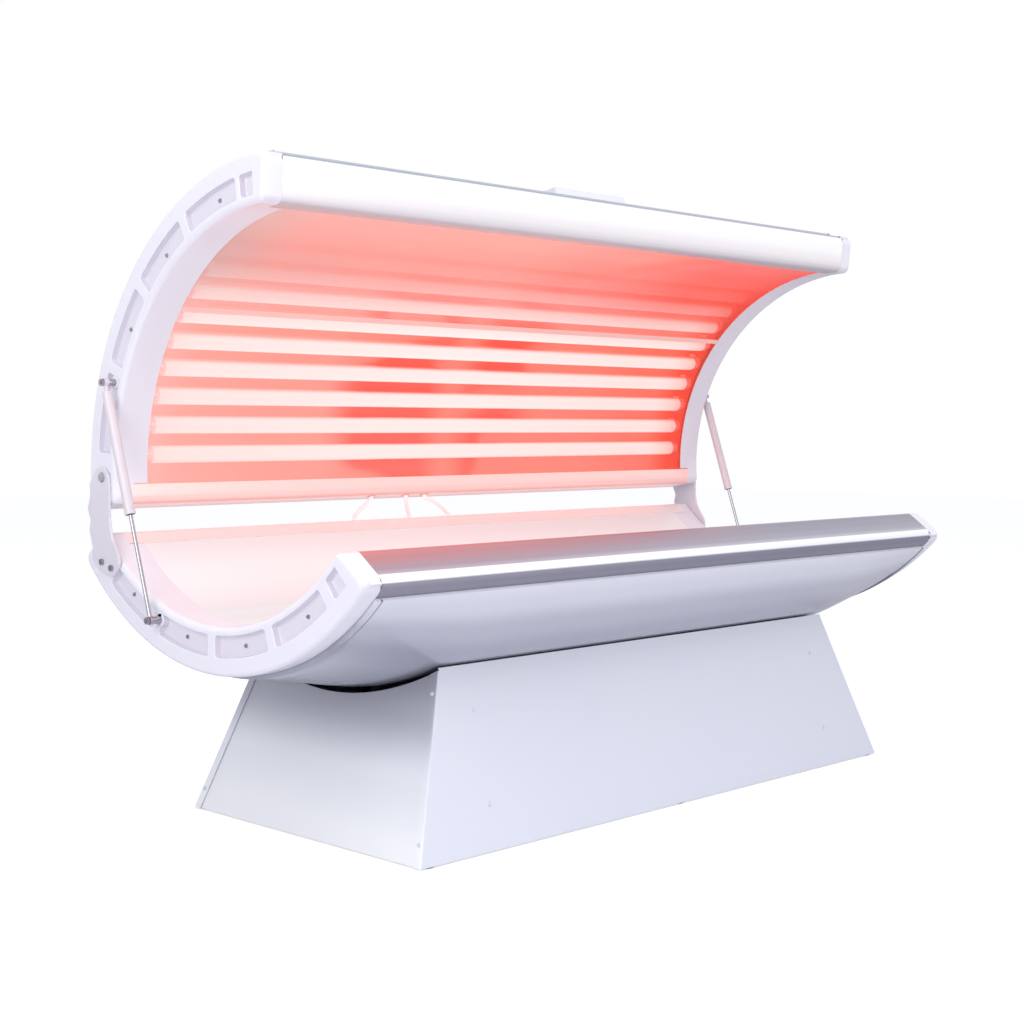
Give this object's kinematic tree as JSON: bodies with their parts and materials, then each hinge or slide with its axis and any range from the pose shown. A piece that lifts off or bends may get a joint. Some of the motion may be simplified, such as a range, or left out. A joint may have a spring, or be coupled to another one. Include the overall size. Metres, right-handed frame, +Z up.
{
  "type": "collagen bed",
  "caption": "Lamp-lined lying trough on a tapered pedestal, with a lamp-lined curved canopy held open on two end hinges by gas struts.",
  "frame": {"origin": "on the floor, in the middle of the box round the object, straight below the axis of the bed's curve", "axes": "+X along the bed, -Y towards the open side that the user sits down on, +Z up"},
  "size_m": [2.0114, 0.886, 1.3579],
  "materials": {
    "white_powder_coat": "satin white powder coat",
    "frame_paint": "matte dark paint",
    "foot_rubber": "matte",
    "zinc_screw": "bright zinc",
    "supply_case": "satin light grey",
    "inlet_plastic": "matte black",
    "shell_gloss": "glossy pale grey-lavender",
    "rail_aluminium": "satin anodised",
    "rib_steel": "galvanised",
    "cap_white": "glossy white moulding",
    "acrylic": "clear polished acrylic",
    "strip_white": "glossy white",
    "reflector_sheet": "bright rolled sheet lit by the lamps",
    "lamp_glass": "lit pinkish white",
    "holder_white": "matte white",
    "fan_black": "matte black",
    "guard_wire": "bright chrome",
    "hinge_plate_white": "white gloss paint",
    "chrome_steel": "bright chrome",
    "strut_white": "glossy white paint",
    "bush_bronze": "turned bronze",
    "lead_sheath": "satin white sheath",
    "grommet_rubber": "matte black",
    "panel_housing": "satin white",
    "keypad_film": "printed film without lettering"
  },
  "bodies": {
    "base": {"pedestal_front_panel": "white_powder_coat", "pedestal_rear_panel": "white_powder_coat", "pedestal_left_panel": "white_powder_coat", "pedestal_right_panel": "white_powder_coat", "pedestal_frame": "frame_paint", "pedestal_stand": "frame_paint", "shell_cradles": "frame_paint", "levelling_feet": "foot_rubber", "pedestal_screws": "zinc_screw", "supply_box": "supply_case", "power_inlet": "inlet_plastic", "bed_outer_shell": "shell_gloss", "bed_front_rail": "rail_aluminium", "bed_rear_rail": "rail_aluminium", "bed_ribs": "rib_steel", "bed_end_plates": "rib_steel", "bed_left_end_cap": "cap_white", "bed_right_end_cap": "cap_white", "bed_cap_screws": "zinc_screw", "bed_acrylic": "acrylic", "bed_reflector": "reflector_sheet", "bed_lamps": "lamp_glass", "bed_lamp_holders": "holder_white", "bed_ballasts": "supply_case", "bed_fan_frame": "fan_black", "bed_fan_guard": "guard_wire", "left_hinge_plate": "hinge_plate_white", "right_hinge_plate": "hinge_plate_white", "hinge_bolts": "chrome_steel", "hinge_pins": "chrome_steel", "lower_strut_studs": "chrome_steel", "bed_lead_grommets": "grommet_rubber", "supply_leads": "lead_sheath"},
    "canopy": {"canopy_outer_shell": "shell_gloss", "canopy_front_rail": "rail_aluminium", "canopy_lower_rail": "rail_aluminium", "canopy_ribs": "rib_steel", "canopy_end_plates": "rib_steel", "canopy_left_end_cap": "cap_white", "canopy_right_end_cap": "cap_white", "canopy_cap_screws": "zinc_screw", "canopy_acrylic": "acrylic", "canopy_joint_strip": "strip_white", "canopy_reflector": "reflector_sheet", "canopy_lamps": "lamp_glass", "canopy_lamp_holders": "holder_white", "canopy_ballasts": "supply_case", "canopy_fan_frame": "fan_black", "canopy_fan_guard": "guard_wire", "canopy_lead_grommets": "grommet_rubber", "control_panel": "panel_housing", "keypad": "keypad_film", "upper_strut_studs": "chrome_steel", "hinge_bushes": "bush_bronze"},
    "bed_fan": {"bed_fan_rotor": "fan_black"},
    "canopy_fan": {"canopy_fan_rotor": "fan_black"},
    "left_rod": {"left_strut_rod": "chrome_steel"},
    "right_rod": {"right_strut_rod": "chrome_steel"},
    "left_cylinder": {"left_strut_cylinder": "strut_white"},
    "right_cylinder": {"right_strut_cylinder": "strut_white"}
  },
  "joints": [
    {"name": "canopy_hinge", "type": "hinge", "parent": "base", "child": "canopy", "pos_m": [0, 0.37361, 0.72059], "axis": [1, 0, 0], "range_deg": [0, 48.5], "stiffness_Nm_per_rad": 90, "springref_deg": -91.67, "deforming": ["supply_leads"]},
    {"name": "left_rod_swing", "type": "hinge", "parent": "base", "child": "left_rod", "pos_m": [-0.992, 0.17335, 0.44019], "axis": [1, 0, 0], "range_deg": [0, 15]},
    {"name": "left_cylinder_swing", "type": "hinge", "parent": "canopy", "child": "left_cylinder", "pos_m": [-0.992, 0.33102, 0.91616], "axis": [1, 0, 0], "range_deg": [-33.6, 0]},
    {"name": "right_rod_swing", "type": "hinge", "parent": "base", "child": "right_rod", "pos_m": [0.992, 0.17335, 0.44019], "axis": [1, 0, 0], "range_deg": [0, 15]},
    {"name": "right_cylinder_swing", "type": "hinge", "parent": "canopy", "child": "right_cylinder", "pos_m": [0.992, 0.33102, 0.91616], "axis": [1, 0, 0], "range_deg": [-33.6, 0]},
    {"name": "bed_fan_spin", "type": "hinge", "parent": "base", "child": "bed_fan", "pos_m": [0, 0, 0.36], "axis": [0, 0, -1], "continuous": true},
    {"name": "canopy_fan_spin", "type": "hinge", "parent": "canopy", "child": "canopy_fan", "pos_m": [0, 0.26859, 1.11745], "axis": [0, 0.749, 0.6626], "continuous": true}
  ],
  "couplings": [
    {"joint": "left_rod_swing", "follows": "canopy_hinge", "ratio": 0.3088},
    {"joint": "right_rod_swing", "follows": "canopy_hinge", "ratio": 0.3088},
    {"joint": "left_cylinder_swing", "follows": "canopy_hinge", "ratio": -0.6912},
    {"joint": "right_cylinder_swing", "follows": "canopy_hinge", "ratio": -0.6912}
  ]
}
